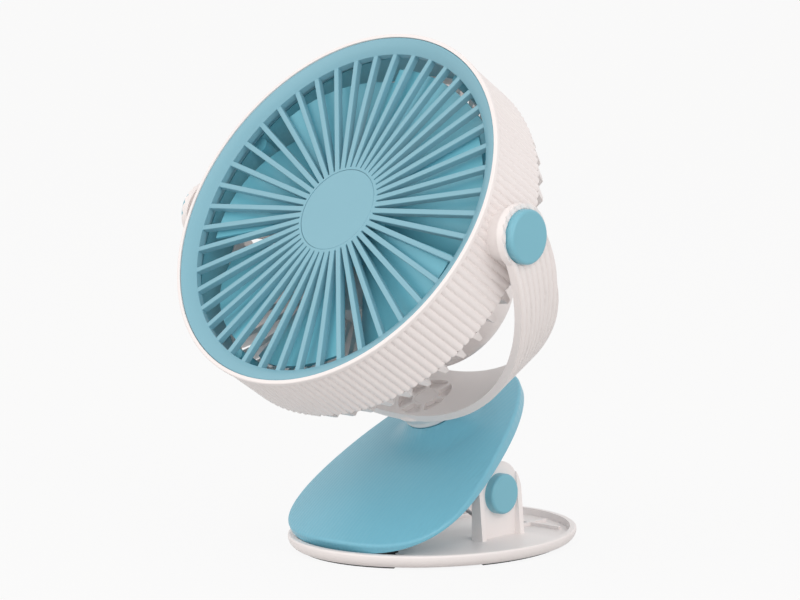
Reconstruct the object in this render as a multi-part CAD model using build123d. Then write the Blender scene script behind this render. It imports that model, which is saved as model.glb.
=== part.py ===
"""Clip fan: a round fan head in a swivelling yoke, on a spring clip that also stands on a table.

Millimetres. +Z is up, +X runs along the clip's hinge, and the fan looks towards -Y.
The origin is on the table, under the middle of the base plate.
"""

from build123d import *
from math import asin, atan2, cos, degrees, pi, radians, sin, sqrt, tan
import os

# ------------------------------------------------------------------ sizes, mm and degrees

# Clearances
running_gap = 0.05          # round pin in its bearing, on the radius
seat_gap = 0.1              # pieces of one body pushed together
moving_gap = 0.3            # surfaces of different bodies

# Base plate: an oval tray with a raised rim
base_half_width = 53.0
base_half_length = 61.0
base_height = 5.1
base_floor = 2.3
base_rim_wall = 2.6
base_bottom_round = 4.2
base_top_round = 0.8
foot_drop = 0.6             # how far the rubber feet stand out below the plate
foot_inset = 4.6
foot_band = 9.0
foot_count = 4
foot_half_angle = 26.0           # half the angle that each foot spans, seen from the middle
floor_rib_height = 1.3
floor_rib_wall = 1.4
floor_rib_spread = 15.0
floor_rib_start = 24.0
floor_rib_end = 51.0
cross_rib_place = 41.0
cross_rib_half = 30.0
rib_root = 0.5              # how far ribs and ears run into the floor
ledge_height = 2.3          # of the ledge that carries each ear, above the floor
ledge_inner = 22.0          # its inner edge, from the middle plane
ledge_ahead = 46.0
ledge_behind = 20.0
lower_pad_inset = 3.8
lower_pad_back = 40.0       # distance of the pad's straight edge from the middle
lower_pad_half_width = 18.0

# Hinge of the clip
hinge_place = 5.0           # behind the middle of the base
hinge_height = 22.3         # above the table
hinge_pin_radius = 2.5
hinge_pin_entry = 2.4       # length of pin inside each cap
ear_face = 29.2             # outer face of each ear, from the middle plane
ear_wall = 2.6
ear_radius = 12.5
gusset_wall = 2.4
gusset_reach = 3.2
gusset_tip = 0.6
gusset_rise = 7.3           # of the gussets' tops above the hinge
hinge_cap_radius = 7.85
hinge_cap_length = 4.0
hinge_cap_round = 1.2

# Torsion spring on the hinge
spring_wire = 0.8           # radius of the wire
spring_coil_radius = 5.4    # to the middle of the wire
spring_turns = 6
spring_pitch = 2.3
spring_leg = 26.0
leg_ceiling_fall = 1.3      # how much lower than its middle the jaw's ceiling is over the leg's end
sleeve_radius = 3.9
sleeve_wall = 1.2

# Jaw: a crowned shell on the slope
jaw_slope = 29.5
jaw_half_length = 56.5
jaw_half_width = 36.8
jaw_squareness = 2.55       # exponent of the oval outline, 2 is an ellipse
jaw_taper = 0.36            # how much wider the front is than the back
jaw_outline_points = 28
jaw_wall = 2.2
jaw_crown = 8.4             # height of the shell at its middle, above its edge
jaw_crown_across = 145.0    # radius of the crown, side to side
jaw_crown_along = 420.0     # radius of the crown, front to back
jaw_edge_round = 1.3
hinge_below_jaw = 14.7      # hinge axis below the plane of the jaw's edge
hinge_behind_jaw_middle = 4.9
lug_wall = 2.8
lug_radius = 6.5
lug_half_root = 12.0
lug_root_height = 4.8
pad_margin = 1.0
upper_pad_half_width = 20.0
upper_pad_length = 17.0
upper_pad_low = 0.6
upper_pad_top = 3.0

# Neck between the jaw and the yoke
neck_place = 14.3           # behind the jaw's middle, along the slope
collar_top = 13.2           # above the plane of the jaw's edge
collar_radius = 10.4
neck_cone_foot = 17.5       # radius of the jaw's cone at its foot, inside the shell
neck_cone_low = 3.0
neck_blend = 14.0           # radius of the hollow blend between the cone and the crown
neck_core_radius = 8.0
neck_core_low = 2.8
neck_pin_radius = 3.0
neck_head_radius = 4.1
neck_head_height = 1.6
neck_head_seat = 0.4        # depth of the head's seat below the yoke's outside
neck_slot_width = 0.8
neck_slot_length = 5.2
neck_slot_depth = 0.75
neck_washer_radius = 7.0
neck_washer_height = 0.8
neck_nut_radius = 5.6
neck_nut_height = 3.0
neck_pin_tail = 1.0
boss_length = 5.0
boss_top_radius = 13.5
boss_low_radius = 10.6
boss_round = 1.2
boss_shoulder = 0.6         # where the boss leaves the yoke's outside
boss_waist_radius = 11.2
boss_waist = 2.4

# Yoke: a half ring about the head's pivots
yoke_head_room = 6.4        # between the shell's ribs and the yoke
yoke_thickness = 3.0
yoke_arm_half_width = 10.6
yoke_foot_ahead = 12.8       # the foot is wider behind than ahead
yoke_foot_behind = 18.0
yoke_end_radius = 12.0
flute_pitch = 2.9
flute_count = 13
flute_depth = 0.8
pocket_count = 6
pocket_inner_radius = 5.6
pocket_outer_radius = 11.0
pocket_rib = 1.7
pocket_depth = 1.6

# Pivots of the head in the yoke
pivot_pin_radius = 4.0
cap_seat_depth = 0.9
cap_seat_radius = 10.4
yoke_cap_radius = 10.0
yoke_cap_length = 3.4
yoke_cap_round = 1.2
pivot_boss_radius = 9.6
pivot_boss_round = 1.5
pivot_washer_radius = 7.6
pivot_washer_height = 0.6
pivot_pin_entry = 0.1       # how far inside the shell's wall the pins end

# Head: the wind comes out of the grille's side
head_tilt = 31.3            # the fan's axis above the horizontal
rim_ahead = 15.2            # plane of the blue rim, ahead of the pivots
grille_inset = 1.1          # of the grille's edge inside the shell's ribs
grille_rim_width = 5.6
grille_recess = 3.15
grille_depth = 2.6
grille_rim_land = 0.7
grille_rim_bow = 0.35
spoke_count = 44
spoke_width = 2.1
spoke_round = 0.35
spoke_phase = 2.05
spoke_entry = 0.6           # how far the spokes run into the disc and the rim
disc_radius = 18.15
disc_depth = 3.0
disc_round = 0.4
badge_radius = 16.9
badge_height = 0.9
badge_round = 0.3
skirt_wall = 1.5
skirt_length = 6.2
rim_seat = 2.9
rim_chamfer = 0.3

# White housing shell
lip_overhang = 0.5          # of the shell's front lip over its ribs
lip_proud = 0.3
lip_height = 1.7
lip_round = 0.5
shell_radius = 73.6         # crest of the ribs
shell_rib_depth = 0.75
shell_rib_count = 145
shell_depth = 28.5          # from the rim plane to the shell's rear edge
shell_wall = 2.5

# Blue air duct inside the shell
duct_wall = 1.6
duct_front = 9.5            # behind the rim plane
duct_rear = 24.2
duct_boss_inset = 4.1       # of the bosses' centres inside the duct's outside
duct_boss_radius = 3.1
duct_boss_first = 65.0
duct_boss_count = 4
screw_radius = 1.2
screw_head_radius = 2.0
screw_head_height = 1.3
screw_entry = 8.0
screw_head_round = 0.4
cross_slot_length = 2.6
cross_slot_width = 0.5
cross_slot_depth = 0.6

# Rear guard with its swirled vanes
guard_ring_wall = 2.4
vane_count = 52
vane_first = -0.06          # angle of the first vane at the hub
vane_swirl = 14.0           # degrees turned from the hub to the edge
vane_half_front = (1.2, 1.6, 2.0)       # half thickness along the front, from the hub to the edge
vane_half_back = (0.35, 0.3, 0.2)       # and along the back
vane_front_depths = (9.0, -3.5)         # behind the shell's rear edge, at the hub and the edge
vane_back_depths = (17.0, 9.6)
vane_hub_entry = 1.5
vane_hub_lap = 1.2
vane_ring_entry = 0.5
vane_lap = 1.0              # how far the vanes run into the ring
vane_hub_depths = (15.5, 9.8)
vane_back_edge = (          # distance inside the shell's ribs, and depth behind the shell's rear edge
    (0.4, 0.3), (2.4, 6.4), (7.6, 9.0), (16.6, 12.2), (26.6, 14.7),
)
vane_front_edge = ((23.6, 8.0), (11.6, 4.8), (4.5, 1.5))
guard_lug_radius = 3.8
guard_lug_height = 2.6
motor_plate_depth = 26.4    # front of the motor's plate, behind the rim plane
motor_plate_wall = 2.0
hub_radius = 31.0
hub_wall = 2.2
hub_round = 0.9
hub_depth = 15.8            # end of the hub, behind the shell's rear edge
cover_back = 84.5           # back of the cover, behind the rim plane
cover_corner = 10.0
cover_dome = 0.8
cover_wall = 2.0
cover_spigot = 2.4
spigot_wall = 1.8
spigot_root = 2.5

# Motor, impeller and electrics
motor_radius = 12.0
motor_length = 15.6
motor_nose_radius = 4.0
motor_nose = 1.6
motor_screw_spread = 8.0
motor_screw_head = 1.0
motor_screw_reach = 2.8
motor_flat = 10.6           # half width across the can's flats
motor_back_round = 1.5
shaft_blind = 2.0           # solid stretch of the can behind the shaft
shaft_radius = 1.5
impeller_hub_radius = 15.0
impeller_hub_front = 7.8    # behind the rim plane
impeller_hub_length = 13.5
impeller_hub_wall = 1.8
impeller_hub_round = 2.2
impeller_boss_radius = 3.6
impeller_boss_gap = 2.0     # between the motor's nose and the impeller's boss
impeller_tip_radius = 62.2
blade_count = 7
blade_thickness = 1.7
blade_edge = 0.8
blade_camber = 0.1          # rise of the section over half its chord
blade_root_entry = 1.2
blade_root_chord = 20.0
blade_tip_chord = 66.0
blade_lead = 92.0           # advance of the blade's face in one turn
blade_steps = 5
blade_first = 12.0
battery_radius = 9.0
battery_length = 50.0
battery_round = 0.6
board_radius = 20.0
board_height = 1.5
board_room = 8.3            # between the board and the back of the cover
switch_side = 6.0
switch_height = 1.9
button_radius = 6.0
button_proud = 1.4
button_flange = 7.4
button_flange_height = 1.0
button_stem_radius = 1.8
button_travel = 0.9
button_round = 0.8
usb_width = 9.0
usb_height = 3.3
usb_wall = 0.4
usb_corner = 1.1
usb_clearance = 0.2
usb_floor = 1.5
tongue_width = 6.2
tongue_height = 0.7
tongue_setback = 1.0
usb_place = 14.5            # below the button
lens_radius = 1.5
lens_place = 13.0
lens_setback = 0.5

# ------------------------------------------------------------------ places worked out from the sizes

base_low = foot_drop
base_top = base_low + base_height
floor_top = base_low + base_floor
hinge_point = Vector(0, hinge_place, hinge_height)
up_slope = Vector(0, cos(radians(jaw_slope)), sin(radians(jaw_slope)))
jaw_normal = Vector(0, -sin(radians(jaw_slope)), cos(radians(jaw_slope)))
jaw_origin = hinge_point - up_slope * hinge_behind_jaw_middle + jaw_normal * hinge_below_jaw
jaw_frame = Plane(origin=jaw_origin, x_dir=(1, 0, 0), z_dir=jaw_normal)

yoke_inner_radius = shell_radius + yoke_head_room
yoke_radius = yoke_inner_radius + yoke_thickness
pivot_height = collar_top + moving_gap + boss_length + yoke_radius
pivot_point = jaw_origin + up_slope * neck_place + jaw_normal * pivot_height
neck_frame = Plane(origin=pivot_point, x_dir=(1, 0, 0), z_dir=jaw_normal)
fan_axis = Vector(0, -cos(radians(head_tilt)), sin(radians(head_tilt)))
head_frame = Plane(origin=pivot_point, x_dir=(1, 0, 0), z_dir=fan_axis)
hinge_frame = Plane(origin=hinge_point, x_dir=(0, 1, 0), z_dir=(1, 0, 0))

cap_seat = yoke_radius - cap_seat_depth
neck_well = -yoke_radius - neck_head_seat       # floor of the well in the yoke's boss, from the pivots
grille_plane = rim_ahead - grille_recess
grille_radius = shell_radius - grille_inset
lip_radius = shell_radius + lip_overhang
shell_rear = rim_ahead - shell_depth
shell_inner_radius = shell_radius - shell_wall
skirt_radius = shell_inner_radius - seat_gap
duct_radius = skirt_radius
duct_boss_circle = duct_radius - duct_boss_inset
motor_plate_front = rim_ahead - motor_plate_depth
motor_plate_back = motor_plate_front - motor_plate_wall
hub_rear = shell_rear - hub_depth
cover_rear = rim_ahead - cover_back


# ------------------------------------------------------------------ shared shapes

def rod(radius, low, high):
    """Round bar along Z."""
    return Pos(0, 0, (low + high) / 2) * Cylinder(radius, high - low)


def tube(outer, inner, low, high):
    return rod(outer, low, high) - rod(inner, low - 1, high + 1)


def cross_rod(radius, low, high):
    """Round bar along X."""
    return Rot(0, 90, 0) * rod(radius, low, high)


def mirrored_pair(piece):
    return piece + mirror(piece, about=Plane.YZ)


def block(x, y, z):
    """Box from three (low, high) pairs."""
    middle = Pos((x[0] + x[1]) / 2, (y[0] + y[1]) / 2, (z[0] + z[1]) / 2)
    return middle * Box(x[1] - x[0], y[1] - y[0], z[1] - z[0])


def turned(points):
    """Solid turned about Z from (radius, height) points."""
    outline = Polyline(*[(r, 0, z) for r, z in points], close=True)
    return revolve(make_face(outline.edges()), Axis.Z)


def bowed(start, end, rise):
    """Arc between two (radius, height) points, standing off its chord by the rise."""
    a, b = Vector(start[0], 0, start[1]), Vector(end[0], 0, end[1])
    across = (b - a).cross(Vector(0, 1, 0)).normalized()
    return ThreePointArc(a, (a + b) / 2 + across * rise, b)


def around(piece, count, first=0.0):
    """Copies of a piece, evenly spaced about Z."""
    return [Rot(0, 0, first + 360 * i / count) * piece for i in range(count)]


def group(pieces):
    """Separate solids kept in one node."""
    return Compound([solid for piece in pieces for solid in piece.solids()])


def oval(inset, low, high):
    """Slab of the base's oval outline, drawn in by the inset."""
    face = Ellipse(base_half_width - inset, base_half_length - inset)
    return extrude(Pos(0, 0, low) * face, amount=high - low)


# ------------------------------------------------------------------ base

def base_plate():
    tray = oval(0, base_low, base_top)
    tray = fillet(tray.edges().group_by(Axis.Z)[0], base_bottom_round)
    tray = fillet(tray.edges().group_by(Axis.Z)[-1], base_top_round)
    tray -= oval(base_rim_wall, floor_top, base_top + 1)
    ledge = oval(base_rim_wall / 2, floor_top - rib_root, floor_top + ledge_height)
    ledge &= block((ledge_inner, base_half_width), (-ledge_ahead, ledge_behind), (0, base_top))
    standing = (floor_top - rib_root, floor_top + floor_rib_height)
    half_wall = floor_rib_wall / 2
    rib = block((floor_rib_spread - half_wall, floor_rib_spread + half_wall),
                (floor_rib_start, floor_rib_end), standing)
    cross_rib = block((-cross_rib_half, cross_rib_half),
                      (cross_rib_place, cross_rib_place + floor_rib_wall), standing)
    return tray + mirrored_pair(ledge) + mirrored_pair(rib) + cross_rib + mirrored_pair(hinge_ear())


def hinge_ear():
    """Upright plate with a round top and two gussets that taper up to its edge."""
    inner = ear_face - ear_wall
    foot = ear_face + gusset_reach
    side_view = block((inner, foot), (hinge_place - ear_radius, hinge_place + ear_radius),
                      (floor_top - rib_root, hinge_height))
    side_view += Pos(hinge_point) * cross_rod(ear_radius, inner, foot)
    ear = side_view & block((inner, ear_face), (hinge_place - ear_radius - 1, hinge_place + ear_radius + 1),
                            (0, hinge_height + ear_radius + 1))
    for edge in (hinge_place - ear_radius, hinge_place + ear_radius - gusset_wall):
        profile = Polyline(
            (inner, edge, floor_top - rib_root),
            (foot, edge, floor_top - rib_root),
            (ear_face + gusset_tip, edge, hinge_height + gusset_rise),
            (inner, edge, hinge_height + gusset_rise),
            close=True,
        )
        ear += extrude(make_face(profile.edges()), amount=gusset_wall, dir=(0, 1, 0)) & side_view
    return ear - Pos(hinge_point) * cross_rod(hinge_pin_radius + running_gap, inner - 1, ear_face + 1)


def base_feet():
    """Rubber crescents under the rim: in front, behind and on both sides."""
    band = oval(foot_inset, 0, base_low) - oval(foot_inset + foot_band, -1, base_low + 1)
    reach = 2 * base_half_length
    spread = reach * tan(radians(foot_half_angle))
    outline = Polyline((0, 0), (reach, -spread), (reach, spread), close=True)
    sector = upright(make_face(outline.edges()), base_low)
    return group([band & place * sector for place in around(Pos(0, 0, 0), foot_count)])


def lower_grip_pad():
    standing = (floor_top, jaw_front_low() - moving_gap)
    pad = oval(lower_pad_inset, *standing)
    return pad & block((-lower_pad_half_width, lower_pad_half_width),
                       (-base_half_length, -lower_pad_back), standing)


def jaw_front_low():
    """Height of the jaw's front edge above the table."""
    return (jaw_origin - up_slope * jaw_half_length).Z


def hinge_pin():
    reach = ear_face + hinge_pin_entry
    return Pos(hinge_point) * cross_rod(hinge_pin_radius, -reach, reach)


def hinge_cap(side):
    cap = rod(hinge_cap_radius, 0, hinge_cap_length)
    cap = fillet(cap.edges().group_by(Axis.Z)[-1], hinge_cap_round)
    cap -= rod(hinge_pin_radius + running_gap, -1, hinge_pin_entry + seat_gap)
    return Pos(hinge_point) * (Rot(0, 90 * side, 0) * (Pos(0, 0, ear_face) * cap))


# ------------------------------------------------------------------ torsion spring

def biarc(start, start_way, end, end_way):
    """Two arcs that leave start along start_way and reach end along end_way, both unit vectors."""
    gap = end - start
    ways = start_way + end_way
    a = 2 * (1 - start_way.dot(end_way))
    b = 2 * gap.dot(ways)
    reach = (sqrt(b * b + 4 * a * gap.dot(gap)) - b) / (2 * a)
    middle = (start + end + (start_way - end_way) * reach) / 2
    first = TangentArc(start, middle, tangent=start_way)
    second = TangentArc(middle, end, tangent=first % 1)
    return [first, second]


def leg_angle(distance):
    """Angle between a leg and the flat surface, so far from the axis, that its end presses on."""
    reach = sqrt(spring_leg ** 2 + spring_coil_radius ** 2)
    rise = asin((distance - spring_wire - moving_gap) / reach)
    return degrees(rise - atan2(spring_coil_radius, spring_leg))


jaw_leg_way = jaw_slope + leg_angle(hinge_below_jaw + jaw_crown - jaw_wall - leg_ceiling_fall)
floor_leg_way = -leg_angle(hinge_height - floor_top)
winding_start = jaw_leg_way + 90
winding_turns = spring_turns + (floor_leg_way + 270 - winding_start) / 360


def coil_point(turn):
    """Place and direction of the wire after so many turns, about Z."""
    angle = radians(winding_start) + 2 * pi * turn
    place = Vector(spring_coil_radius * cos(angle), spring_coil_radius * sin(angle),
                   (turn - winding_turns / 2) * spring_pitch)
    way = Vector(-sin(angle), cos(angle), spring_pitch / (2 * pi * spring_coil_radius))
    return place, way.normalized()


def least_gap(points):
    """Least distance between the wire's surface and itself, one half turn or more along the wire."""
    skip = len(points) // (2 * spring_turns)
    apart = [(a - b).length for i, a in enumerate(points) for b in points[i + skip:]]
    return min(apart) - 2 * spring_wire


def clamp_spring():
    """One unbroken wire: a straight leg, the winding in quarter turns, and the other leg."""
    steps = 4 * spring_turns + 1
    marks = [coil_point(winding_turns * i / steps) for i in range(steps + 1)]
    first, first_way = marks[0]
    last, last_way = marks[-1]
    path = [Line(first - first_way * spring_leg, first)]
    for (a, a_way), (b, b_way) in zip(marks, marks[1:]):
        path += biarc(a, a_way, b, b_way)
    path.append(Line(last, last + last_way * spring_leg))
    wire = Wire([edge for piece in path for edge in piece.edges()])
    samples = [coil_point(winding_turns * i / 200)[0] for i in range(201)]
    print(f"clamp spring: {winding_turns:.2f} turns, least gap to itself {least_gap(samples):.2f} mm")
    section = Plane(origin=wire @ 0, z_dir=wire % 0) * Circle(spring_wire)
    return hinge_frame.location * sweep(section, path=wire)


def spring_sleeve():
    half = ear_face - ear_wall - lug_wall - 3 * moving_gap
    sleeve = Rot(0, 90, 0) * tube(sleeve_radius, sleeve_radius - sleeve_wall, -half, half)
    return Pos(hinge_point) * sleeve


# ------------------------------------------------------------------ jaw, in its own frame: y up the slope

def jaw_outline(inset):
    """Egg-shaped oval: broad in front, narrow behind."""
    half_width = jaw_half_width - inset
    half_length = jaw_half_length - inset
    points = []
    for i in range(jaw_outline_points):
        angle = 2 * pi * (i + 0.5) / jaw_outline_points
        along = abs(sin(angle)) ** (2 / jaw_squareness) * (1 if sin(angle) > 0 else -1)
        across = abs(cos(angle)) ** (2 / jaw_squareness) * (1 if cos(angle) > 0 else -1)
        points.append((half_width * across * (1 - jaw_taper * along), half_length * along))
    return make_face(Spline(*points, periodic=True).edges())


def upright(face, height):
    """Slab that stands on a flat outline."""
    return extrude(face, amount=height, dir=(0, 0, 1))


def crown(height):
    """Ball drawn out along the jaw, its top at the given height."""
    stretch = sqrt(jaw_crown_along / jaw_crown_across)
    ball = scale(Rot(90, 0, 0) * Sphere(jaw_crown_across), by=(1, stretch, 1))
    return Pos(0, 0, height - jaw_crown_across) * ball


def jaw_body(inset):
    """Everything inside the jaw's outline and under its crown, both drawn in by the inset."""
    slab = Pos(0, 0, -inset) * upright(jaw_outline(inset), 2 * jaw_crown)
    return slab & crown(jaw_crown - inset)


def neck_cone():
    """Cone from the collar down into the crown."""
    side = [(neck_cone_foot, neck_cone_low), (collar_radius, collar_top)]
    return Pos(0, neck_place, 0) * turned([(0, neck_cone_low), *side, (0, collar_top)])


def clamp_jaw():
    shell = jaw_body(0)
    crown_edge = [edge for edge in shell.edges()
                  if edge.center().Z > jaw_edge_round and edge.geom_type != GeomType.LINE]
    shell = fillet(crown_edge, jaw_edge_round) + neck_cone()
    neck = Vector(0, neck_place, jaw_crown)
    crease = [edge for edge in shell.edges()
              if edge.geom_type == GeomType.BSPLINE and (edge @ 0.25 - neck).length < neck_cone_foot]
    shell = fillet(crease, neck_blend)
    shell -= jaw_body(jaw_wall) - Pos(0, neck_place, 0) * rod(neck_core_radius, neck_core_low, collar_top)
    shell -= Pos(0, neck_place, 0) * rod(neck_pin_radius + running_gap, 0, collar_top + 1)
    lug = jaw_lug()
    return jaw_frame.location * (shell.fuse(lug, mirror(lug, about=Plane.YZ)) - lug_bore())


def jaw_lug():
    outer = ear_face - ear_wall - moving_gap
    inner = outer - lug_wall
    y = hinge_behind_jaw_middle
    low = -hinge_below_jaw
    profile = Polyline(
        (inner, y - lug_half_root, lug_root_height),
        (inner, y + lug_half_root, lug_root_height),
        (inner, y + lug_radius, low),
        (inner, y - lug_radius, low),
        close=True,
    )
    lug = extrude(make_face(profile.edges()), amount=lug_wall, dir=(1, 0, 0))
    return lug + Pos(0, y, low) * cross_rod(lug_radius, inner, outer)


def lug_bore():
    bore = cross_rod(hinge_pin_radius + running_gap, -ear_face, ear_face)
    return Pos(0, hinge_behind_jaw_middle, -hinge_below_jaw) * bore


def upper_grip_pad():
    """Rubber block inside the jaw's front."""
    pad = upright(jaw_outline(jaw_wall + pad_margin), upper_pad_top)
    pad &= block((-upper_pad_half_width, upper_pad_half_width),
                 (-jaw_half_length, -jaw_half_length + upper_pad_length), (upper_pad_low, upper_pad_top))
    return jaw_frame.location * (pad & crown(jaw_crown - jaw_wall - moving_gap))


def neck_washer():
    low = neck_core_low - neck_washer_height
    washer = tube(neck_washer_radius, neck_pin_radius + seat_gap, low, neck_core_low)
    return jaw_frame.location * (Pos(0, neck_place, 0) * washer)


def neck_nut():
    top = neck_core_low - neck_washer_height
    hexagon = extrude(RegularPolygon(neck_nut_radius, 6), amount=neck_nut_height)
    nut = Pos(0, 0, top - neck_nut_height) * hexagon
    nut -= rod(neck_pin_radius + running_gap, -20, 20)
    return jaw_frame.location * (Pos(0, neck_place, 0) * nut)


def neck_pin():
    """Shoulder screw from the yoke's well down to the nut."""
    seat = neck_well + moving_gap / 2
    tail = neck_core_low - neck_washer_height - neck_nut_height - neck_pin_tail - pivot_height
    pin = rod(neck_pin_radius, tail, seat + seat_gap) + rod(neck_head_radius, seat, seat + neck_head_height)
    slot = block((-neck_slot_width / 2, neck_slot_width / 2), (-neck_slot_length / 2, neck_slot_length / 2),
                 (seat + neck_head_height - neck_slot_depth, seat + neck_head_height + 1))
    return neck_frame.location * (pin - slot)


# ------------------------------------------------------------------ yoke, in the neck's frame

def neck_plug():
    """Flat plug that hides the neck's screw."""
    low = neck_well + moving_gap / 2 + neck_head_height + moving_gap
    return neck_frame.location * rod(neck_head_radius + moving_gap - seat_gap, low, -yoke_inner_radius)


def fluted_ring():
    """Ring about Y whose outside carries rounded flutes."""
    half = flute_pitch * flute_count / 2
    valley = yoke_radius - flute_depth
    arcs = []
    for i in range(flute_count):
        y = -half + i * flute_pitch
        crest = (yoke_radius, y + flute_pitch / 2, 0)
        arcs.append(ThreePointArc((valley, y, 0), crest, (valley, y + flute_pitch, 0)))
    rest = Polyline((valley, half, 0), (yoke_inner_radius, half, 0),
                    (yoke_inner_radius, -half, 0), (valley, -half, 0))
    outline = [edge for arc in arcs for edge in arc.edges()] + list(rest.edges())
    return revolve(make_face(outline), Axis.Y)


def yoke_side_view():
    reach = yoke_radius + 4
    profile = Polyline(
        (-reach, -yoke_arm_half_width, 0),
        (-reach, yoke_arm_half_width, 0),
        (-reach, yoke_foot_behind, -reach),
        (-reach, -yoke_foot_ahead, -reach),
        close=True,
    )
    sides = extrude(make_face(profile.edges()), amount=2 * reach, dir=(1, 0, 0))
    return sides + cross_rod(yoke_end_radius, -reach, reach)


def yoke_pocket():
    """Wedge between two ribs of the foot's boss."""
    top = pocket_depth + 2
    wedge = tube(pocket_outer_radius, pocket_inner_radius, 0, top)
    wedge &= block((0, 2 * pocket_outer_radius), (-pocket_outer_radius, pocket_outer_radius), (0, top))
    for side in (-1, 1):
        near, far = -pocket_rib / 2, 2 * pocket_outer_radius
        beyond = block((-far, far), (near, far) if side > 0 else (-far, -near), (-1, top + 1))
        wedge -= Rot(0, 0, side * 180 / pocket_count) * beyond
    return Pos(0, 0, -yoke_inner_radius - pocket_depth) * wedge


def yoke():
    body = fluted_ring() & yoke_side_view()
    low = -yoke_radius - boss_length
    top = -yoke_inner_radius - 1
    boss = turned([(0, top), (boss_top_radius - 1, top), (boss_top_radius, -yoke_radius + boss_shoulder),
                   (boss_waist_radius, low + boss_waist), (boss_low_radius, low), (0, low)])
    boss = fillet(boss.edges().group_by(Axis.Z)[0], boss_round)
    body += boss
    for wedge in around(yoke_pocket(), pocket_count, 180 / pocket_count):
        body -= wedge
    body -= rod(neck_head_radius + moving_gap, neck_well, -yoke_inner_radius + 3)
    body -= rod(neck_pin_radius + running_gap, low - 1, neck_well + 1)
    for side in (-1, 1):
        body -= Rot(0, 90 * side, 0) * rod(cap_seat_radius, cap_seat, yoke_radius + 3)
    body -= cross_rod(pivot_pin_radius + running_gap, -yoke_radius - 1, yoke_radius + 1)
    return neck_frame.location * body


def yoke_cap(side):
    cap = rod(yoke_cap_radius, cap_seat, cap_seat + yoke_cap_length)
    cap = fillet(cap.edges().group_by(Axis.Z)[-1], yoke_cap_round)
    return neck_frame.location * (Rot(0, 90 * side, 0) * cap)


# ------------------------------------------------------------------ head, in its frame: z out of the grille

def pivot_boss_face():
    """Flat end of the shell's pivot boss, clear of the yoke's hollow side."""
    room = sqrt(yoke_inner_radius ** 2 - pivot_boss_radius ** 2)
    return room - moving_gap - pivot_washer_height


def housing_shell():
    ribs = []
    valley = shell_radius - shell_rib_depth
    for i in range(shell_rib_count):
        a, b, c = [2 * pi * (i + share) / shell_rib_count for share in (0, 0.5, 1)]
        ribs.append(ThreePointArc((valley * cos(a), valley * sin(a)),
                                  (shell_radius * cos(b), shell_radius * sin(b)),
                                  (valley * cos(c), valley * sin(c))))
    lip_low = rim_ahead + lip_proud - lip_height
    outline = make_face([edge for rib in ribs for edge in rib.edges()])
    shell = extrude(Pos(0, 0, shell_rear) * outline, amount=lip_low - shell_rear)
    lip = rod(lip_radius, lip_low, rim_ahead + lip_proud)
    shell += fillet(lip.edges().group_by(Axis.Z)[-1], lip_round)
    for side in (-1, 1):
        boss = rod(pivot_boss_radius, shell_inner_radius + shell_wall / 4, pivot_boss_face())
        boss = fillet(boss.edges().group_by(Axis.Z)[-1], pivot_boss_round)
        shell += Rot(0, 90 * side, 0) * boss
    shell -= rod(shell_inner_radius, shell_rear - 1, rim_ahead + 2)
    shell -= rod(grille_radius + seat_gap, rim_ahead - rim_seat, rim_ahead + 2)
    shell -= cross_rod(pivot_pin_radius + running_gap, -yoke_radius, yoke_radius)
    return head_frame.location * shell


def pivot_pins():
    pin = rod(pivot_pin_radius, shell_inner_radius + pivot_pin_entry, cap_seat - moving_gap)
    return head_frame.location * group([Rot(0, 90 * side, 0) * pin for side in (-1, 1)])


def pivot_washers():
    low = pivot_boss_face()
    washer = tube(pivot_washer_radius, pivot_pin_radius + seat_gap, low, low + pivot_washer_height)
    return head_frame.location * group([Rot(0, 90 * side, 0) * washer for side in (-1, 1)])


def front_grille():
    """Rim, spokes and middle disc moulded in one."""
    inner = grille_radius - grille_rim_width
    low = grille_plane - grille_depth
    seat = rim_ahead - rim_seat + seat_gap
    skirt_low = rim_ahead - rim_seat - skirt_length
    face = bowed((grille_radius - grille_rim_land, rim_ahead), (inner, grille_plane), -grille_rim_bow)
    rest = Polyline(
        (inner, 0, grille_plane), (inner, 0, low), (skirt_radius - skirt_wall, 0, low),
        (skirt_radius - skirt_wall, 0, skirt_low), (skirt_radius, 0, skirt_low),
        (skirt_radius, 0, seat), (grille_radius, 0, seat),
        (grille_radius, 0, rim_ahead - rim_chamfer), (grille_radius - rim_chamfer, 0, rim_ahead),
        (grille_radius - grille_rim_land, 0, rim_ahead),
    )
    grille = revolve(make_face(face.edges() + rest.edges()), Axis.Z)
    disc = rod(disc_radius, grille_plane - disc_depth, grille_plane)
    disc = fillet(disc.edges().group_by(Axis.Z)[-1], disc_round)
    spoke = block((disc_radius - spoke_entry, inner + spoke_entry), (-spoke_width / 2, spoke_width / 2),
                  (low, grille_plane))
    spoke = fillet(spoke.edges().filter_by(Axis.X).group_by(Axis.Z)[-1], spoke_round)
    grille = grille.fuse(disc, *around(spoke, spoke_count, spoke_phase))
    grille -= rod(badge_radius + seat_gap, grille_plane - badge_height, grille_plane + 1)
    return head_frame.location * grille


def centre_badge():
    """Plain disc let into the middle of the grille."""
    badge = rod(badge_radius, grille_plane - badge_height, grille_plane)
    return head_frame.location * fillet(badge.edges().group_by(Axis.Z)[-1], badge_round)


def screw_places():
    return around(Pos(duct_boss_circle, 0, 0), duct_boss_count, duct_boss_first)


def inner_duct():
    front = rim_ahead - duct_front
    rear = rim_ahead - duct_rear
    duct = tube(duct_radius, duct_radius - duct_wall, rear, front)
    for place in screw_places():
        duct += place * rod(duct_boss_radius, rear, front)
    duct &= rod(duct_radius, rear, front)
    for place in screw_places():
        duct -= place * rod(screw_radius + running_gap, rear - 1, rear + screw_entry + 1)
    return head_frame.location * duct


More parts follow.
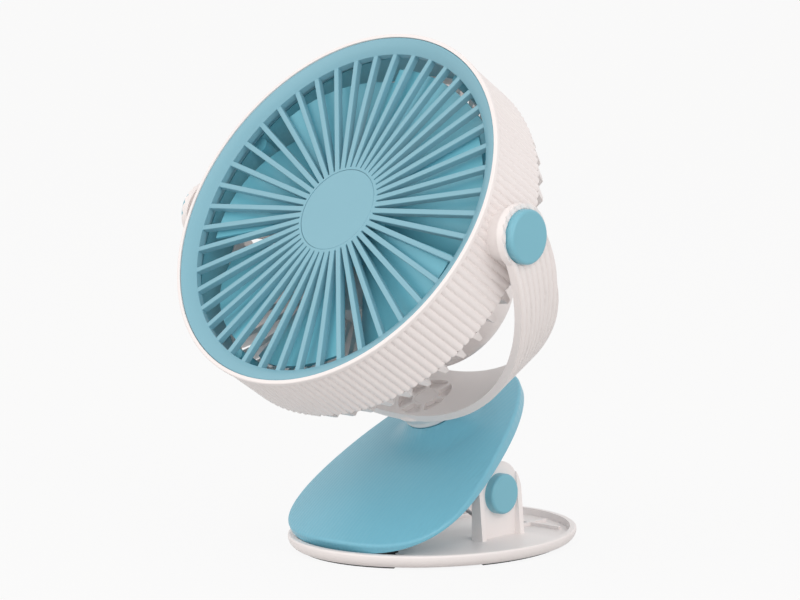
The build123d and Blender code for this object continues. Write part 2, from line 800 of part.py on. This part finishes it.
def vane_section(halves, depths):
    """Outline of a swirled vane seen from behind, on a slope between two depths."""
    start = hub_radius - vane_hub_entry
    reach = shell_radius + 1
    fall = (depths[1] - depths[0]) / (reach - start)
    sides = {1: [], -1: []}
    for share, half in zip((0, 0.5, 1), halves):
        radius = start + share * (reach - start)
        angle = radians(vane_first + vane_swirl * share * (2 - share))
        for side, points in sides.items():
            x = radius * cos(angle) - side * half * sin(angle)
            y = radius * sin(angle) + side * half * cos(angle)
            points.append((x, y, shell_rear - depths[0] - fall * (x - start)))
    left, right = sides[1], sides[-1]
    edges = [ThreePointArc(*left), Line(left[-1], right[-1]), ThreePointArc(*reversed(right)),
             Line(right[0], left[0])]
    return make_face([edge for piece in edges for edge in piece.edges()])


def vane():
    """Wedge that thins towards its back edge, cut to the guard's profile."""
    wedge = loft([vane_section(vane_half_front, vane_front_depths),
                  vane_section(vane_half_back, vane_back_depths)], ruled=True)
    hub_side = hub_radius - vane_hub_lap
    inner = duct_radius - guard_ring_wall + vane_ring_entry
    outer = duct_radius - vane_ring_entry
    points = [(shell_radius - inset, shell_rear - depth) for inset, depth in vane_back_edge]
    points += [(hub_side, shell_rear - depth) for depth in vane_hub_depths]
    points += [(shell_radius - inset, shell_rear - depth) for inset, depth in vane_front_edge]
    points += [(inner, shell_rear + vane_lap), (outer, shell_rear + vane_lap), (outer, points[0][1])]
    return wedge & turned(points)


def guard_ring():
    """Ring that plugs into the shell behind the duct, with the screws' lugs."""
    front = rim_ahead - duct_rear - seat_gap
    ring = tube(duct_radius, duct_radius - guard_ring_wall, shell_rear, front)
    for place in screw_places():
        ring += place * rod(guard_lug_radius, front - guard_lug_height, front)
    ring &= rod(duct_radius, shell_rear, front)
    for place in screw_places():
        ring -= place * rod(screw_radius + running_gap, shell_rear, front + 1)
        ring -= place * rod(screw_head_radius + seat_gap, shell_rear - 1, front - guard_lug_height)
    return ring


def guard_hub():
    """Cup whose floor carries the motor."""
    cup = rod(hub_radius, hub_rear, motor_plate_front)
    cup = fillet(cup.edges().group_by(Axis.Z)[-1], hub_round)
    cup -= rod(hub_radius - hub_wall, hub_rear - 1, motor_plate_back)
    cup -= rod(motor_nose_radius + running_gap, motor_plate_back - 1, motor_plate_front + 1)
    for x in (-motor_screw_spread, motor_screw_spread):
        cup -= Pos(x, 0, 0) * rod(screw_radius + running_gap, motor_plate_back - 1, motor_plate_front + 1)
    return cup


def rear_guard():
    return head_frame.location * guard_ring().fuse(guard_hub(), *around(vane(), vane_count))


def screw(seat):
    """Cross-head screw driven towards +Z, its head under the seat."""
    low = seat - screw_head_height
    piece = rod(screw_radius, seat, seat + screw_entry) + rod(screw_head_radius, low, seat)
    piece = fillet(piece.edges().group_by(Axis.Z)[0], screw_head_round)
    length, width = cross_slot_length / 2, cross_slot_width / 2
    slot = block((-length, length), (-width, width), (low - 1, low + cross_slot_depth))
    return piece - slot - Rot(0, 0, 90) * slot


def housing_screws():
    seat = rim_ahead - duct_rear - seat_gap - guard_lug_height
    return head_frame.location * group([place * screw(seat) for place in screw_places()])


def cover_body(inset, top):
    """Rounded drum that covers the motor, drawn in by the inset."""
    radius = hub_radius - inset
    back = cover_rear + inset
    corner = cover_corner - inset
    side_low = (radius, back + corner)
    flat_edge = (radius - corner, back)
    corner_arc = bowed(side_low, flat_edge, corner * (1 - sqrt(0.5)))
    rest = Polyline((flat_edge[0], 0, back), (0, 0, back - cover_dome), (0, 0, top), (radius, 0, top),
                    (radius, 0, side_low[1]))
    return revolve(make_face(corner_arc.edges() + rest.edges()), Axis.Z)


def rear_cover():
    top = hub_rear - seat_gap
    cover = cover_body(0, top) - cover_body(cover_wall, top + 1)
    spigot_radius = hub_radius - hub_wall - seat_gap
    cover += tube(spigot_radius, spigot_radius - spigot_wall, top - 1, top + cover_spigot)
    cover += tube(hub_radius - 0.5, spigot_radius - spigot_wall, top - spigot_root, top)
    through = (cover_rear - 2 * cover_wall, cover_rear + 2 * cover_wall)
    cover -= rod(button_radius + moving_gap, *through)
    x, y = usb_width / 2 + usb_clearance, usb_height / 2 + usb_clearance
    cover -= Pos(0, -usb_place, 0) * block((-x, x), (-y, y), through)
    cover -= Pos(0, lens_place, 0) * rod(lens_radius + running_gap, *through)
    return head_frame.location * cover


# ------------------------------------------------------------------ what is inside the head

motor_rear = motor_plate_back - motor_length
board_back = cover_rear + board_room
board_front = board_back + board_height
battery_middle = board_front + seat_gap + battery_radius
switch_back = board_back - switch_height
impeller_front = rim_ahead - impeller_hub_front
impeller_rear = impeller_front - impeller_hub_length


def motor():
    can = rod(motor_radius, motor_rear, motor_plate_back)
    can = fillet(can.edges().group_by(Axis.Z)[0], motor_back_round)
    can &= block((-motor_flat, motor_flat), (-motor_radius, motor_radius), (motor_rear, motor_plate_back))
    nose = motor_plate_back + motor_nose
    can += rod(motor_nose_radius, motor_plate_back - 1, nose)
    can -= rod(shaft_radius + running_gap, motor_rear + shaft_blind, nose + 1)
    for x in (-motor_screw_spread, motor_screw_spread):
        hole_end = motor_plate_back - motor_screw_reach - seat_gap
        can -= Pos(x, 0, 0) * rod(screw_radius + running_gap, hole_end, motor_plate_back + 1)
    return head_frame.location * can


def motor_screws():
    piece = rod(screw_head_radius, motor_plate_front, motor_plate_front + motor_screw_head)
    piece += rod(screw_radius, motor_plate_back - motor_screw_reach, motor_plate_front + seat_gap)
    places = [Pos(x, 0, 0) for x in (-motor_screw_spread, motor_screw_spread)]
    return head_frame.location * group([place * piece for place in places])


def motor_shaft():
    front = impeller_front - impeller_hub_wall - seat_gap
    shaft = rod(shaft_radius, motor_rear + shaft_blind + moving_gap, front)
    return head_frame.location * shaft


def blade_section(share, middle):
    """Thin cambered section of a blade, square to the radius, at a share of the blade's length."""
    root = impeller_hub_radius - blade_root_entry
    radius = root + share * (impeller_tip_radius + blade_root_entry - root)
    half = (blade_root_chord + share * (blade_tip_chord - blade_root_chord)) / 2
    pitch = degrees(atan2(blade_lead, 2 * pi * radius))
    camber = half * blade_camber
    edge = blade_edge / 2
    upper = ThreePointArc((-half, edge), (0, camber + blade_thickness / 2), (half, edge))
    lower = ThreePointArc((half, -edge), (0, camber - blade_thickness / 2), (-half, -edge))
    ends = [Line((half, edge), (half, -edge)), Line((-half, -edge), (-half, edge))]
    face = make_face([e for piece in (upper, lower, *ends) for e in piece.edges()])
    plane = Plane(origin=(radius, 0, middle), x_dir=(0, 1, 0), z_dir=(1, 0, 0))
    return plane * (Rot(0, 0, pitch) * face)


def impeller():
    middle = (impeller_front + impeller_rear) / 2
    ceiling = impeller_front - impeller_hub_wall
    hub = rod(impeller_hub_radius, impeller_rear, impeller_front)
    hub = fillet(hub.edges().group_by(Axis.Z)[-1], impeller_hub_round)
    sections = [blade_section(i / blade_steps, middle) for i in range(blade_steps + 1)]
    room = rod(impeller_tip_radius, middle - impeller_hub_length, middle + impeller_hub_length)
    blade = loft(sections, ruled=True) & room
    wheel = hub.fuse(*around(blade, blade_count, blade_first))
    wheel -= rod(impeller_hub_radius - impeller_hub_wall, middle - impeller_hub_length, ceiling)
    boss_low = motor_plate_back + motor_nose + impeller_boss_gap
    wheel += rod(impeller_boss_radius, boss_low, ceiling + impeller_hub_wall / 2)
    wheel -= rod(shaft_radius, boss_low - 1, ceiling)
    return head_frame.location * wheel


def battery_cell():
    cell = cross_rod(battery_radius, -battery_length / 2, battery_length / 2)
    cell = fillet(cell.edges().filter_by(GeomType.CIRCLE), battery_round)
    return head_frame.location * (Pos(0, 0, battery_middle) * cell)


def circuit_board():
    return head_frame.location * rod(board_radius, board_back, board_front)


def push_switch():
    side = (-switch_side / 2, switch_side / 2)
    return head_frame.location * block(side, side, (switch_back, board_back))


def speed_button():
    flange_back = cover_rear + cover_wall + seat_gap
    button = rod(button_radius, cover_rear - cover_dome - button_proud, flange_back + seat_gap)
    button = fillet(button.edges().group_by(Axis.Z)[0], button_round)
    button += rod(button_flange, flange_back, flange_back + button_flange_height)
    button += rod(button_stem_radius, flange_back, switch_back - button_travel - seat_gap)
    return head_frame.location * button


def usb_socket():
    """Folded metal shell with a tongue inside."""
    x, y = usb_width / 2, usb_height / 2
    mouth = cover_rear - seat_gap
    shell = block((-x, x), (-y, y), (mouth, board_back))
    shell = fillet(shell.edges().filter_by(Axis.Z), usb_corner)
    x, y = x - usb_wall, y - usb_wall
    shell -= block((-x, x), (-y, y), (mouth - 1, board_back - usb_floor))
    tongue = block((-tongue_width / 2, tongue_width / 2), (-tongue_height / 2, tongue_height / 2),
                   (mouth + tongue_setback, board_back - usb_floor / 2))
    return head_frame.location * (Pos(0, -usb_place, 0) * (shell + tongue))


def indicator_lens():
    lens = rod(lens_radius, cover_rear - lens_setback, board_back)
    return head_frame.location * (Pos(0, lens_place, 0) * lens)


# ------------------------------------------------------------------ every piece, under its node's name

pieces = {
    "base_plate": base_plate,
    "base_feet": base_feet,
    "lower_grip_pad": lower_grip_pad,
    "hinge_pin": hinge_pin,
    "hinge_cap_right": lambda: hinge_cap(1),
    "hinge_cap_left": lambda: hinge_cap(-1),
    "clamp_spring": clamp_spring,
    "spring_sleeve": spring_sleeve,
    "clamp_jaw": clamp_jaw,
    "upper_grip_pad": upper_grip_pad,
    "neck_pin": neck_pin,
    "neck_washer": neck_washer,
    "neck_nut": neck_nut,
    "yoke": yoke,
    "neck_plug": neck_plug,
    "yoke_cap_right": lambda: yoke_cap(1),
    "yoke_cap_left": lambda: yoke_cap(-1),
    "housing_shell": housing_shell,
    "pivot_pins": pivot_pins,
    "pivot_washers": pivot_washers,
    "front_grille": front_grille,
    "centre_badge": centre_badge,
    "inner_duct": inner_duct,
    "rear_guard": rear_guard,
    "housing_screws": housing_screws,
    "rear_cover": rear_cover,
    "motor": motor,
    "motor_screws": motor_screws,
    "motor_shaft": motor_shaft,
    "impeller": impeller,
    "battery_cell": battery_cell,
    "circuit_board": circuit_board,
    "push_switch": push_switch,
    "speed_button": speed_button,
    "usb_socket": usb_socket,
    "indicator_lens": indicator_lens,
}


def main():
    os.makedirs("parts", exist_ok=True)
    for name, make in pieces.items():
        export_step(make(), f"parts/{name}.step")
    print(f"hinge axis y {hinge_point.Y:.3f}, z {hinge_point.Z:.3f}")
    print(f"pivot axis y {pivot_point.Y:.3f}, z {pivot_point.Z:.3f}")
    print(f"neck axis direction {jaw_normal.Y:.5f}, {jaw_normal.Z:.5f}")
    print(f"fan axis direction {fan_axis.Y:.5f}, {fan_axis.Z:.5f}")


if __name__ == "__main__":
    main()
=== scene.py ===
"""Looks of the clip fan: white and blue moulded plastic, rubber feet and steel fittings."""

from math import pi, radians

import bmesh
import bpy
from mathutils import Matrix, Vector


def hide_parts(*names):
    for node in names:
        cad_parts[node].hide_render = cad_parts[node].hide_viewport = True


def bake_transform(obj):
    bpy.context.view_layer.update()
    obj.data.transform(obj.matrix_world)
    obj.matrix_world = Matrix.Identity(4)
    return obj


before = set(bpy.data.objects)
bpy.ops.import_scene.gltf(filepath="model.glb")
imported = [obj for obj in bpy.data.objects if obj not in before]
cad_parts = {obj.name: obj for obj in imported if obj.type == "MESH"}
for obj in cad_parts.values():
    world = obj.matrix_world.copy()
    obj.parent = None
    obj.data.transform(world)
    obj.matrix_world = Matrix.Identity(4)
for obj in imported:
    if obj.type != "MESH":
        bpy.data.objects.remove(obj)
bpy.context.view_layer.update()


# ------------------------------------------------------------------ small helpers

def linear(colour):
    """sRGB hex such as "78b6c7" to a linear RGBA colour."""
    parts = [int(colour[i:i + 2], 16) / 255 for i in (0, 2, 4)]
    return [p / 12.92 if p <= 0.04045 else ((p + 0.055) / 1.055) ** 2.4 for p in parts] + [1.0]


def add(tree, kind, settings=None, **sockets):
    """Adds a node. A socket is set to a value, or linked where it is given another node's output.

    A socket goes by its name, with _ for a space, or by its number, as i0, where names repeat.
    """
    node = tree.nodes.new(kind)
    for name, value in (settings or {}).items():
        setattr(node, name, value)
    for name, value in sockets.items():
        numbered = name[0] == "i" and name[1:].isdigit()
        socket = node.inputs[int(name[1:]) if numbered else name.replace("_", " ")]
        if isinstance(value, bpy.types.NodeSocket):
            tree.links.new(value, socket)
        else:
            socket.default_value = value
    return node


def blank(name):
    """New material, its empty tree and its output node."""
    material = bpy.data.materials.new(name)
    material.use_nodes = True
    material.node_tree.nodes.clear()
    return material, material.node_tree, material.node_tree.nodes.new("ShaderNodeOutputMaterial")


# ------------------------------------------------------------------ materials

# Sizes of the patterns, in millimetres
cloud_size = 22         # faint changes of tone in a moulding
scratch_size = 0.8      # across a metal's scratches
scratch_depth = 0.008
rib_depth = 0.10

gloss_spread = 0.06     # how far a moulding's roughness goes up and down from its middle


def cells(size):
    """Scale of a noise with one cell in that many millimetres. Object coordinates are metres."""
    return 1000 / size


def bands(spacing):
    """Scale of a wave with one band in that many millimetres. A wave repeats every 2 pi / (20 scale)."""
    return 2 * pi * 1000 / (20 * spacing)


def moulded(name, colour, shade, roughness, grain=0.6, depth=0.010, ior=1.53, ribs=0.0):
    """Injection-moulded plastic: even colour, and the fine spark-eroded grain of the mould.

    The real grain is about 0.05 mm across and too fine to show, so it is drawn at the given size.
    The grain, its depth and the spacing of ribs are in millimetres.
    """
    material, tree, out = blank(name)
    place = add(tree, "ShaderNodeTexCoord").outputs["Object"]
    cloud = add(tree, "ShaderNodeTexNoise", Vector=place, Scale=cells(cloud_size), Detail=2.0)
    fine = add(tree, "ShaderNodeTexNoise", Vector=place, Scale=cells(grain), Detail=2.0)
    tone = add(tree, "ShaderNodeMix", {"data_type": "RGBA"}, Factor=cloud.outputs["Fac"],
               i6=linear(colour), i7=linear(shade))
    matt = add(tree, "ShaderNodeMapRange", Value=fine.outputs["Fac"],
               To_Min=roughness - gloss_spread, To_Max=roughness + gloss_spread)
    bump = add(tree, "ShaderNodeBump", Height=fine.outputs["Fac"], Strength=0.4, Distance=depth / 1000)
    normal = bump.outputs["Normal"]
    if ribs:
        waves = add(tree, "ShaderNodeTexWave", {"bands_direction": "X"}, Vector=place,
                    Scale=bands(ribs), Distortion=0.0)
        normal = add(tree, "ShaderNodeBump", Height=waves.outputs["Fac"], Strength=0.6,
                     Distance=rib_depth / 1000, Normal=normal).outputs["Normal"]
    skin = add(tree, "ShaderNodeBsdfPrincipled", Base_Color=tone.outputs["Result"],
               Roughness=matt.outputs["Result"], Normal=normal, IOR=ior)
    tree.links.new(skin.outputs["BSDF"], out.inputs["Surface"])
    return material


def metal(name, colour, roughness, streaks=(1.0, 1.0, 1.0), spread=0.08):
    """Bare metal with fine scratches. A streak below 1 draws them out along that axis."""
    material, tree, out = blank(name)
    place = add(tree, "ShaderNodeTexCoord").outputs["Object"]
    lines = add(tree, "ShaderNodeMapping", Vector=place, Scale=streaks)
    fine = add(tree, "ShaderNodeTexNoise", Vector=lines.outputs["Vector"],
               Scale=cells(scratch_size), Detail=3.0)
    matt = add(tree, "ShaderNodeMapRange", Value=fine.outputs["Fac"],
               To_Min=roughness - spread, To_Max=roughness + spread)
    bump = add(tree, "ShaderNodeBump", Height=fine.outputs["Fac"], Strength=0.25,
               Distance=scratch_depth / 1000)
    skin = add(tree, "ShaderNodeBsdfPrincipled", Base_Color=linear(colour), Metallic=1.0,
               Roughness=matt.outputs["Result"], Normal=bump.outputs["Normal"])
    tree.links.new(skin.outputs["BSDF"], out.inputs["Surface"])
    return material


# ABS, satin from the mould: the eye sees a soft broad sheen and no sharp reflection.
white_abs = moulded("white_satin_abs", "f1ebe9", "ede6e4", 0.40)
blue_abs = moulded("blue_satin_abs", "78b6c7", "74b2c3", 0.38)
# The jaw's ABS shows faint ribs along its length, where fingers grip it.
jaw_abs = moulded("blue_ribbed_abs", "74b7cc", "70b3c8", 0.34, ribs=1.7)
# The grille's ABS is a shade greyer than the jaw's.
grille_abs = moulded("grey_blue_satin_abs", "80b1c0", "7caebd", 0.36)
# The ABS of the blades and the duct round them is smoother, with less grain to catch the light.
blade_abs = moulded("blue_smooth_abs", "72bccd", "6db8c9", 0.34, grain=0.8, depth=0.006)
# Natural rubber compound, moulded: dark grey and nearly without shine.
rubber = moulded("black_moulded_rubber", "37373a", "303033", 0.78, grain=0.9, depth=0.030, ior=1.52)
# Turned mild steel, zinc flashed: an even grey metal with a soft shine.
steel = metal("turned_steel", "b9babd", 0.28)
# Music wire, drawn: darker than the fittings, with fine streaks.
spring_wire = metal("drawn_spring_wire", "a3a5aa", 0.30, streaks=(0.15, 1.0, 1.0))
# Natural nylon: creamy and slightly waxy.
nylon = moulded("natural_nylon", "ece8dc", "e6e2d4", 0.34, grain=1.2)
# Deep-drawn steel, zinc plated: cool grey, streaked down the can.
motor_can = metal("zinc_plated_can", "b4b6b9", 0.32, streaks=(1.0, 0.3, 0.3))
# Shrunk vinyl film: deep blue and glossy, with slight ripples.
cell_sleeve = moulded("blue_shrink_sleeve", "2f5fa3", "2b5997", 0.25, grain=2.0, depth=0.004, ior=1.54)
# Solder mask, screened over glass fibre: dark green and glossy, slightly uneven over the cloth.
solder_mask = moulded("green_solder_mask", "1f5a35", "1c5230", 0.35, grain=1.5, depth=0.004, ior=1.55)
# ABS in black, satin from the mould.
black_abs = moulded("black_satin_abs", "1c1c1f", "18181a", 0.45)
# Stamped steel, nickel plated: bright and slightly warm.
nickel = metal("nickel_plated_steel", "c9c8c4", 0.18, spread=0.04)
# Polycarbonate with a diffuser in it, polished: milky and glossy.
lens = moulded("milky_polycarbonate", "dfe6ea", "dbe2e6", 0.12, grain=3.0, depth=0.002, ior=1.58)

finishes = {
    white_abs: ["base_plate", "spring_sleeve", "yoke", "neck_plug", "housing_shell", "rear_guard",
                "rear_cover"],
    blue_abs: ["hinge_cap_right", "hinge_cap_left", "yoke_cap_right", "yoke_cap_left", "speed_button"],
    grille_abs: ["front_grille", "centre_badge"],
    jaw_abs: ["clamp_jaw"],
    blade_abs: ["impeller", "inner_duct"],
    rubber: ["base_feet", "lower_grip_pad", "upper_grip_pad"],
    steel: ["hinge_pin", "neck_pin", "neck_washer", "neck_nut", "pivot_pins", "housing_screws",
            "motor_screws", "motor_shaft"],
    spring_wire: ["clamp_spring"],
    nylon: ["pivot_washers"],
    motor_can: ["motor"],
    cell_sleeve: ["battery_cell"],
    solder_mask: ["circuit_board"],
    black_abs: ["push_switch"],
    nickel: ["usb_socket"],
    lens: ["indicator_lens"],
}
for material, names in finishes.items():
    for name in names:
        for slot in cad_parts[name].material_slots:
            slot.material = material


# ------------------------------------------------------------------ torsion spring

# The CAD's spring is rigid, so a smooth-shaded copy of it stands in its place.

same_point = 1e-7           # corners closer than this, in metres, are one
sharp_edge = 40             # degrees, past which an edge isn't smoothed


def wound_spring():
    """Copy of the clip's spring, with its doubled corners merged and its wire shaded smooth."""
    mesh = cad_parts["clamp_spring"].data.copy()
    wire = bmesh.new()
    wire.from_mesh(mesh)
    bmesh.ops.remove_doubles(wire, verts=wire.verts, dist=same_point)
    wire.to_mesh(mesh)
    wire.free()
    mesh.shade_smooth()
    mesh.set_sharp_from_angle(angle=radians(sharp_edge))
    spring = bpy.data.objects.new("wound_spring", mesh)
    bpy.context.scene.collection.objects.link(spring)
    return spring


spring = wound_spring()
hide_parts("clamp_spring")
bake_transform(spring)


# ------------------------------------------------------------------ floor, light and camera

floor_width = 400       # metres, so that its edge meets the horizon
floor_glow = 0.9        # share of plain white in what is seen of the floor; the rest takes the shadow
room_strength = 0.86    # of the even light from all round


def direct_ray(tree):
    """1 where the camera, a reflection or a clear piece sees the surface, and 0 for its soft light."""
    path = add(tree, "ShaderNodeLightPath")
    seen = add(tree, "ShaderNodeMath", {"operation": "MAXIMUM"}, i0=path.outputs["Is Camera Ray"],
               i1=path.outputs["Is Glossy Ray"])
    return add(tree, "ShaderNodeMath", {"operation": "MAXIMUM"}, i0=seen.outputs[0],
               i1=path.outputs["Is Transmission Ray"]).outputs[0]


def floor_material():
    """Pale floor that shows as white and keeps a soft shadow."""
    material, tree, out = blank("pale_floor")
    share = add(tree, "ShaderNodeMath", {"operation": "MULTIPLY"}, i0=direct_ray(tree), i1=floor_glow)
    paint = add(tree, "ShaderNodeBsdfDiffuse", Color=linear("cccbca"))
    glow = add(tree, "ShaderNodeEmission", Color=linear("ffffff"), Strength=1.0)
    mixed = add(tree, "ShaderNodeMixShader", i0=share.outputs[0], i1=paint.outputs[0], i2=glow.outputs[0])
    tree.links.new(mixed.outputs[0], out.inputs["Surface"])
    return material


bpy.ops.mesh.primitive_plane_add(size=floor_width)
floor = bpy.context.object
floor.name = "floor"
floor.data.materials.append(floor_material())

world = bpy.data.worlds.new("studio")
bpy.context.scene.world = world
world.use_nodes = True
tree = world.node_tree
tree.nodes.clear()
# The room gives the soft light, and the backdrop is what the camera and the reflections see.
room = add(tree, "ShaderNodeBackground", Color=linear("fbf8f7"), Strength=room_strength)
backdrop = add(tree, "ShaderNodeBackground", Color=linear("fbfbfb"), Strength=1.0)
mixed = add(tree, "ShaderNodeMixShader", i0=direct_ray(tree), i1=room.outputs[0], i2=backdrop.outputs[0])
tree.links.new(mixed.outputs[0], add(tree, "ShaderNodeOutputWorld").inputs["Surface"])


def softbox(name, place, aim, width, power, colour):
    """Square studio light at a place, turned to face a point. In metres and watts."""
    lamp = bpy.data.lights.new(name, "AREA")
    lamp.size = width
    lamp.energy = power
    lamp.color = linear(colour)[:3]
    box = bpy.data.objects.new(name, lamp)
    bpy.context.scene.collection.objects.link(box)
    back = Vector(place) - Vector(aim)
    box.location = place
    box.rotation_euler = back.to_track_quat("Z", "Y").to_euler()


fan_middle = (0, -0.03, 0.1)
clip_middle = (0, -0.01, 0.05)
# A broad light from the front left, one from the right, and a small low one for the clip.
softbox("key_light", (-0.5, -1.5, 0.75), fan_middle, width=1.6, power=7.8, colour="fffdfb")
softbox("side_light", (1.5, -0.5, 0.9), fan_middle, width=0.9, power=6.6, colour="ffffff")
softbox("low_light", (1.1, -1.2, 0.22), clip_middle, width=0.6, power=3.0, colour="ffffff")

camera = bpy.data.cameras.new("camera")
camera.lens = 131.0
camera.sensor_width = 36.0
view = bpy.data.objects.new("camera", camera)
bpy.context.scene.collection.objects.link(view)
# At the front right, 6 degrees up. The columns are its right, its up, its back and its place.
view.matrix_world = Matrix((
    (0.7401, -0.0726, 0.6686, 0.7488),
    (0.6725, 0.0799, -0.7358, -0.8434),
    (0.0, 0.9942, 0.1080, 0.2182),
    (0.0, 0.0, 0.0, 1.0),
))
bpy.context.scene.camera = view
bpy.context.scene.view_settings.view_transform = "Standard"
